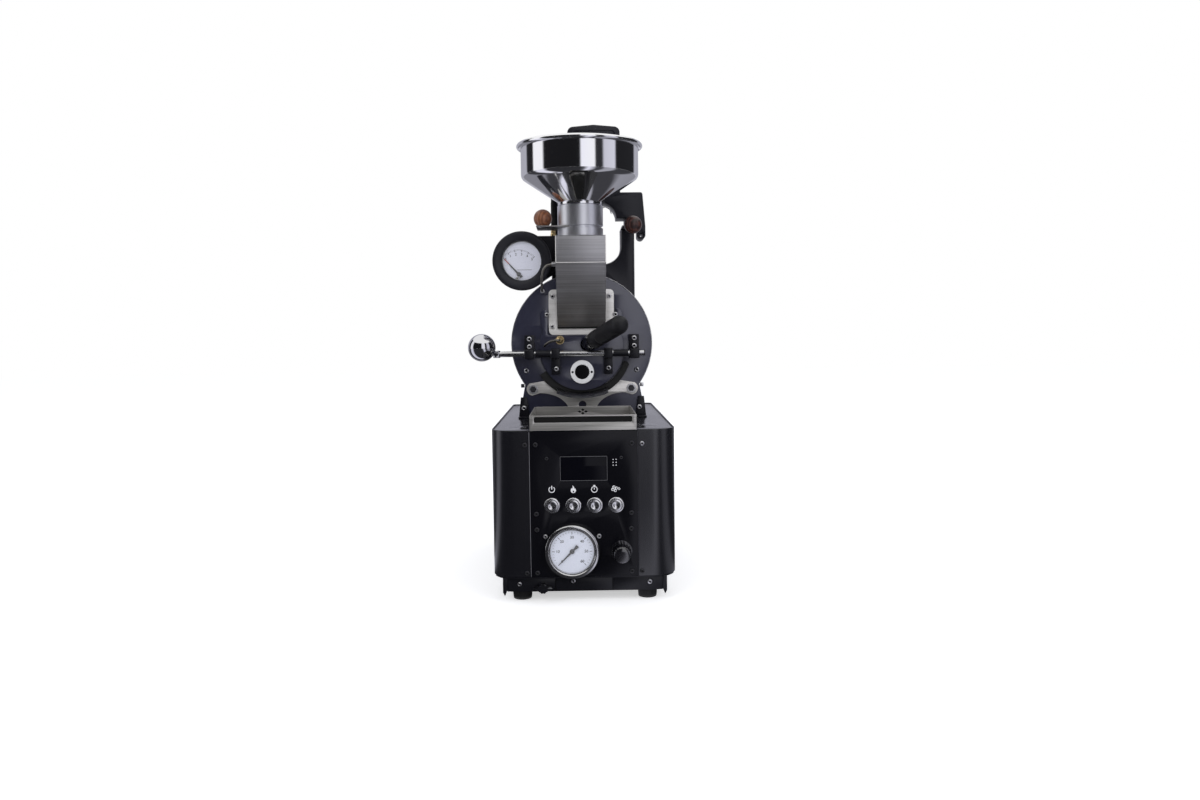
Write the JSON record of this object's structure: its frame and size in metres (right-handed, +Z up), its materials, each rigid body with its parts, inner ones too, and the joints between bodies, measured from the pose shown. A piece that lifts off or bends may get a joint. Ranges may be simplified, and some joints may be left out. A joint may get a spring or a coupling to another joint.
{
  "type": "coffee bean roaster",
  "caption": "Countertop gas roaster for coffee beans: funnel and gate over a turning drum, weighted discharge door, cooling tray with fan, exhaust blower and a black base with gauge and knobs.",
  "frame": {"origin": "middle of the bounding box on the plane that the rubber feet stand on", "axes": "+X to the right seen from the control panel, +Y from the panel to the back, +Z up"},
  "size_m": [0.2568, 0.457, 0.6086],
  "materials": {
    "black_coat": "satin powder coat",
    "deck_gloss": "gloss",
    "plate_grey": "satin blue-grey",
    "brushed_steel": "brushed",
    "polished_steel": "mirror polish",
    "aluminium": "fine turned",
    "brass": "bare",
    "gloss_plastic": "gloss",
    "black_plastic": "matt",
    "rubber": "matt",
    "light_wood": "waxed mid brown",
    "dark_wood": "waxed dark walnut",
    "clear_glass": "clear"
  },
  "bodies": {
    "base": {"chassis_pan": "black_coat", "foot_front_left": "rubber", "foot_front_right": "rubber", "foot_rear_left": "rubber", "foot_rear_right": "rubber", "left_shell": "black_coat", "right_shell": "black_coat", "control_panel": "black_coat", "top_deck": "deck_gloss", "rear_panel": "black_coat", "power_inlet": "black_plastic", "display_module": "gloss_plastic", "pressure_gauge_case": "polished_steel", "pressure_gauge_lens": "clear_glass", "gas_regulator": "brass", "gas_inlet_pipe": "brass", "gas_burner": "brushed_steel", "cooling_fan_frame": "black_plastic", "face_plate": "plate_grey", "drum_housing": "brushed_steel", "rear_bearing": "brushed_steel", "drive_motor": "brushed_steel", "motor_bracket": "black_coat", "pillow_block_left": "black_coat", "pillow_block_right": "black_coat", "spout_plate": "brushed_steel", "feed_chute": "brushed_steel", "hopper_collar": "aluminium", "air_gauge_case": "black_plastic", "air_gauge_lens": "clear_glass", "air_gauge_bracket": "black_coat", "exhaust_manifold": "black_coat", "blower_case": "black_coat", "door_probe": "brass", "chute_probe": "brushed_steel", "gauge_hose": "rubber"},
    "drum": {"drum": "brushed_steel", "drive_coupling": "aluminium"},
    "cooling_fan": {"cooling_fan_impeller": "black_plastic"},
    "blower_wheel": {"blower_impeller": "aluminium"},
    "door": {"door_rod": "brushed_steel", "bean_door": "plate_grey", "door_ball": "polished_steel", "sight_glass": "brushed_steel"},
    "bush": {"scoop_bush": "gloss_plastic"},
    "scoop": {"sampling_scoop": "black_plastic"},
    "gate": {"gate_plate": "brushed_steel", "gate_ball": "light_wood"},
    "damper": {"damper_plate": "brushed_steel", "damper_ball": "dark_wood"},
    "hopper": {"hopper": "polished_steel"},
    "tray": {"cooling_tray": "brushed_steel"},
    "button_1": {"push_button_1": "polished_steel"},
    "button_2": {"push_button_2": "polished_steel"},
    "button_3": {"push_button_3": "polished_steel"},
    "button_4": {"push_button_4": "polished_steel"},
    "regulator_knob": {"regulator_knob": "gloss_plastic"},
    "winged_knob": {"winged_knob": "gloss_plastic"},
    "pressure_needle": {"pressure_gauge_needle": "black_plastic"},
    "air_needle": {"air_gauge_needle": "black_plastic"}
  },
  "joints": [
    {"name": "drum_spin", "type": "hinge", "parent": "base", "child": "drum", "pos_m": [0.01837, -0.0095, 0.306], "axis": [0, 1, 0], "continuous": true},
    {"name": "cooling_fan_spin", "type": "hinge", "parent": "base", "child": "cooling_fan", "pos_m": [0.01837, -0.1355, 0.193], "axis": [0, 0, 1], "continuous": true},
    {"name": "blower_spin", "type": "hinge", "parent": "base", "child": "blower_wheel", "pos_m": [0.03637, 0.0358, 0.548], "axis": [0, 1, 0], "continuous": true},
    {"name": "door_swing", "type": "hinge", "parent": "base", "child": "door", "pos_m": [0.01837, -0.0365, 0.293], "axis": [-1, 0, 0], "range_deg": [0, 80]},
    {"name": "bush_turn", "type": "hinge", "parent": "base", "child": "bush", "pos_m": [0.03537, -0.0465, 0.311], "axis": [0.351, -0.9084, 0.2271], "range_deg": [-180, 180]},
    {"name": "scoop_slide", "type": "slide", "parent": "bush", "child": "scoop", "axis": [0.351, -0.9084, 0.2271], "range_m": [0, 0.075]},
    {"name": "gate_slide", "type": "slide", "parent": "base", "child": "gate", "axis": [-1, 0, 0], "range_m": [0, 0.045]},
    {"name": "damper_slide", "type": "slide", "parent": "base", "child": "damper", "axis": [0, -1, 0], "range_m": [0, 0.04]},
    {"name": "hopper_lift", "type": "slide", "parent": "base", "child": "hopper", "axis": [0, 0, 1], "range_m": [0, 0.05]},
    {"name": "tray_slide", "type": "slide", "parent": "base", "child": "tray", "axis": [0, -1, 0], "range_m": [0, 0.1]},
    {"name": "button_1_press", "type": "slide", "parent": "base", "child": "button_1", "axis": [0, 1, 0], "range_m": [0, 0.002], "stiffness_N_per_m": 500},
    {"name": "button_2_press", "type": "slide", "parent": "base", "child": "button_2", "axis": [0, 1, 0], "range_m": [0, 0.002], "stiffness_N_per_m": 500},
    {"name": "button_3_press", "type": "slide", "parent": "base", "child": "button_3", "axis": [0, 1, 0], "range_m": [0, 0.002], "stiffness_N_per_m": 500},
    {"name": "button_4_press", "type": "slide", "parent": "base", "child": "button_4", "axis": [0, 1, 0], "range_m": [0, 0.002], "stiffness_N_per_m": 500},
    {"name": "regulator_turn", "type": "hinge", "parent": "base", "child": "regulator_knob", "pos_m": [0.06237, -0.2045, 0.062], "axis": [0, 1, 0], "range_deg": [0, 270]},
    {"name": "valve_turn", "type": "hinge", "parent": "base", "child": "winged_knob", "pos_m": [-0.03163, -0.1958, 0.019], "axis": [0, 1, 0], "range_deg": [0, 90]},
    {"name": "pressure_needle_turn", "type": "hinge", "parent": "base", "child": "pressure_needle", "pos_m": [0.00337, -0.2029, 0.062], "axis": [0, 1, 0], "range_deg": [0, 270], "stiffness_Nm_per_rad": 0.0001},
    {"name": "air_needle_turn", "type": "hinge", "parent": "base", "child": "air_needle", "pos_m": [-0.06513, -0.0209, 0.4], "axis": [0, 1, 0], "range_deg": [0, 85], "stiffness_Nm_per_rad": 0.0001}
  ]
}
